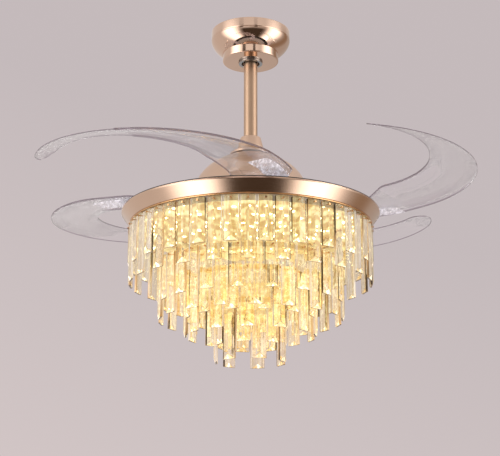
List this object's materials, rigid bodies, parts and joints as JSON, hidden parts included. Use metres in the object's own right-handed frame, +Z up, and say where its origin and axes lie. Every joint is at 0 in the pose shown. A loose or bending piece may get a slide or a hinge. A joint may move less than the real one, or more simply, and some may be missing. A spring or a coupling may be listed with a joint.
{
  "type": "retractable blade ceiling fan",
  "caption": "Ceiling fan with a round tiered crystal lamp below the motor and clear curved blades that fold away above the lamp's ring.",
  "frame": {"origin": "centre of the ceiling bracket's screw slots, on the face that lies against the ceiling", "axes": "+Z up into the ceiling, the fan hangs towards -Z; -Y faces the camera of the picture and the slots lie along X"},
  "size_m": [0.8224, 0.8224, 0.674],
  "materials": {
    "zinc_steel": "zinc plated",
    "canopy_gold": "polished rose gold plating",
    "rod_gold": "polished light gold plating",
    "satin_gold": "satin rose gold plating",
    "wire_gold": "polished gold plating",
    "black_steel": "satin black paint",
    "nylon": "natural nylon",
    "black_ball": "moulded black nylon",
    "white_box": "moulded white plastic",
    "cable_sheath": "smooth cable sheath",
    "stator_steel": "laminated electrical steel",
    "copper": "enamelled copper wire",
    "magnet": "dark nickel plated",
    "bearing_steel": "ground steel",
    "motor_alloy": "die cast",
    "panel_white": "white light panel",
    "led": "glowing light chip",
    "crystal": "cut and polished clear crystal",
    "blade_clear": "clear moulded plastic",
    "hub_frost": "frosted moulded plastic",
    "ring_nylon": "moulded nylon"
  },
  "bodies": {
    "ceiling_mount": {"ceiling_bracket": "zinc_steel", "canopy": "canopy_gold", "canopy_screws": "canopy_gold", "remote_receiver": "white_box"},
    "seat": {"ball_seat": "nylon"},
    "hanging": {"hanger_ball": "black_ball", "hanger_pin": "zinc_steel", "downrod": "rod_gold", "motor_yoke": "zinc_steel", "clevis_pin": "zinc_steel", "cotter_pin": "zinc_steel", "set_screws": "zinc_steel", "coupling_cover": "rod_gold", "motor_shaft": "bearing_steel", "stator_core": "stator_steel", "stator_windings": "copper", "bearing_inner_races": "bearing_steel", "supply_cable": "cable_sheath", "cable_connector": "white_box", "lamp_tray": "black_steel", "tray_nut": "zinc_steel", "ring_band": "satin_gold", "ring_bead": "wire_gold", "light_panel": "panel_white", "led_chips": "led", "led_driver": "white_box", "crystal_hoops": "wire_gold", "hoop_rods": "wire_gold", "crystal_hooks": "wire_gold", "tier_1_short_bars": "crystal", "tier_1_long_bars": "crystal", "tier_2_short_bars": "crystal", "tier_2_long_bars": "crystal", "tier_3_short_bars": "crystal", "tier_3_long_bars": "crystal", "tier_4_short_bars": "crystal", "tier_4_long_bars": "crystal"},
    "rotor": {"motor_housing": "motor_alloy", "motor_end_plate": "motor_alloy", "dome_cover": "satin_gold", "rotor_screws": "zinc_steel", "magnets": "magnet", "bearing_outer_races": "bearing_steel", "bearing_balls": "bearing_steel", "rotor_plate": "motor_alloy", "pivot_bolts": "zinc_steel", "return_springs": "zinc_steel"},
    "sync": {"sync_ring": "ring_nylon"},
    "wing_1": {"blade_1": "blade_clear", "blade_hub_1": "hub_frost", "blade_screws_1": "zinc_steel"},
    "wing_2": {"blade_2": "blade_clear", "blade_hub_2": "hub_frost", "blade_screws_2": "zinc_steel"},
    "wing_3": {"blade_3": "blade_clear", "blade_hub_3": "hub_frost", "blade_screws_3": "zinc_steel"},
    "wing_4": {"blade_4": "blade_clear", "blade_hub_4": "hub_frost", "blade_screws_4": "zinc_steel"}
  },
  "joints": [
    {"name": "seat_tilt", "type": "hinge", "parent": "ceiling_mount", "child": "seat", "pos_m": [0, 0, -0.046], "axis": [1, 0, 0], "range_deg": [-6, 6]},
    {"name": "ball_tilt", "type": "hinge", "parent": "seat", "child": "hanging", "pos_m": [0, 0, -0.046], "axis": [0, 1, 0], "range_deg": [-6, 6]},
    {"name": "motor_spin", "type": "hinge", "parent": "hanging", "child": "rotor", "pos_m": [0, 0, -0.376], "axis": [0, 0, 1], "continuous": true},
    {"name": "blade_1_fold", "type": "hinge", "parent": "rotor", "child": "wing_1", "pos_m": [0.17377, 0.02072, -0.376], "axis": [0, 0, 1], "range_deg": [-84, 0]},
    {"name": "blade_2_fold", "type": "hinge", "parent": "rotor", "child": "wing_2", "pos_m": [0.02072, -0.17377, -0.376], "axis": [0, 0, 1], "range_deg": [-84, 0]},
    {"name": "blade_3_fold", "type": "hinge", "parent": "rotor", "child": "wing_3", "pos_m": [-0.17377, -0.02072, -0.376], "axis": [0, 0, 1], "range_deg": [-84, 0]},
    {"name": "blade_4_fold", "type": "hinge", "parent": "rotor", "child": "wing_4", "pos_m": [-0.02072, 0.17377, -0.376], "axis": [0, 0, 1], "range_deg": [-84, 0]},
    {"name": "sync_turn", "type": "hinge", "parent": "rotor", "child": "sync", "pos_m": [0, 0, -0.376], "axis": [0, 0, 1], "range_deg": [0, 16]}
  ],
  "couplings": [
    {"joint": "blade_2_fold", "follows": "blade_1_fold", "ratio": 1},
    {"joint": "blade_3_fold", "follows": "blade_1_fold", "ratio": 1},
    {"joint": "blade_4_fold", "follows": "blade_1_fold", "ratio": 1},
    {"joint": "sync_turn", "follows": "blade_1_fold", "ratio": -0.19048}
  ]
}
